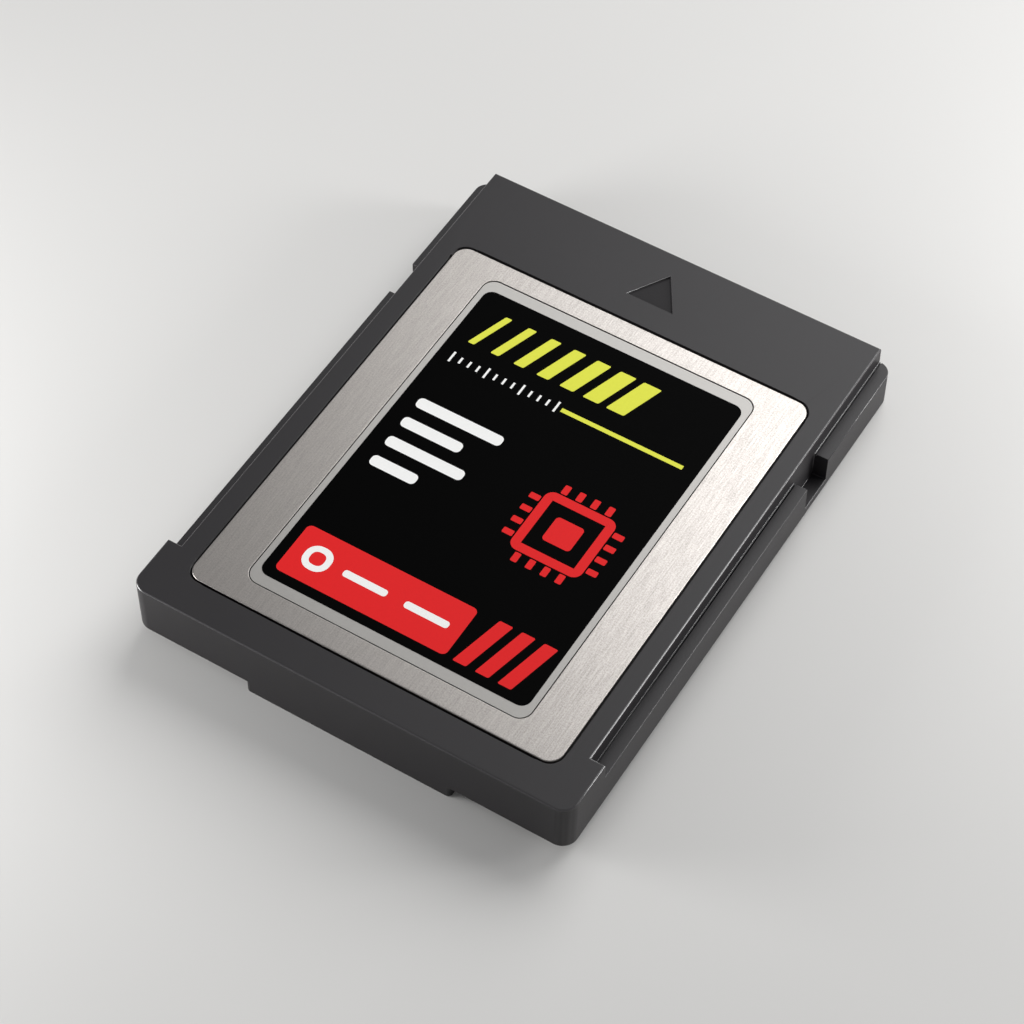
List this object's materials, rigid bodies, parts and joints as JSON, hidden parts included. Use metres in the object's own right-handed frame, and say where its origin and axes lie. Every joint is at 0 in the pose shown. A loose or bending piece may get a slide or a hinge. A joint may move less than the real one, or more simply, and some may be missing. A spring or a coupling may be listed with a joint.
{
  "type": "memory card",
  "caption": "Flat storage card with a moulded frame, steel covers, stepped guide ledges, latch notches, a grip lip and an edge connector slot.",
  "frame": {"origin": "middle of the outline, at the height of the underside of the grip lip", "axes": "+Z out of the label side, +Y towards the connector end that goes in first, +X to the right when the label side is up and +Y points away"},
  "size_m": [0.0296, 0.0384, 0.0047],
  "materials": {
    "frame_plastic": "fine satin grain",
    "cover_steel": "brushed along the card",
    "label_film": "glossy printed film",
    "adhesive_film": "matt",
    "board_laminate": "satin solder mask",
    "housing_plastic": "matt",
    "tinned_tab": "tinned",
    "chip_resin": "matt",
    "crystal_can": "satin",
    "ferrite": "matt",
    "pad_silicone": "soft matt",
    "capacitor_ceramic": "matt",
    "resistor_ceramic": "matt",
    "contact_gold": "gold plated"
  },
  "bodies": {
    "root": {"frame": "frame_plastic", "top_cover": "cover_steel", "bottom_cover": "cover_steel", "top_adhesive": "adhesive_film", "bottom_adhesive": "adhesive_film", "label": "label_film", "circuit_board": "board_laminate", "connector_housing": "housing_plastic", "anchor_left": "tinned_tab", "anchor_right": "tinned_tab", "controller_chip": "chip_resin", "flash_chip_left": "chip_resin", "flash_chip_right": "chip_resin", "power_chip": "chip_resin", "crystal": "crystal_can", "inductor_rear": "ferrite", "inductor_front": "ferrite", "controller_pad": "pad_silicone", "flash_pad_left": "pad_silicone", "flash_pad_right": "pad_silicone", "capacitors": "capacitor_ceramic", "underside_capacitors": "capacitor_ceramic", "resistors": "resistor_ceramic", "contact_01": "contact_gold", "contact_02": "contact_gold", "contact_03": "contact_gold", "contact_04": "contact_gold", "contact_05": "contact_gold", "contact_06": "contact_gold", "contact_07": "contact_gold", "contact_08": "contact_gold", "contact_09": "contact_gold", "contact_10": "contact_gold", "contact_11": "contact_gold", "contact_12": "contact_gold", "contact_13": "contact_gold", "contact_14": "contact_gold", "contact_15": "contact_gold", "contact_16": "contact_gold", "contact_17": "contact_gold", "contact_18": "contact_gold", "contact_19": "contact_gold", "contact_20": "contact_gold"}
  },
  "joints": []
}
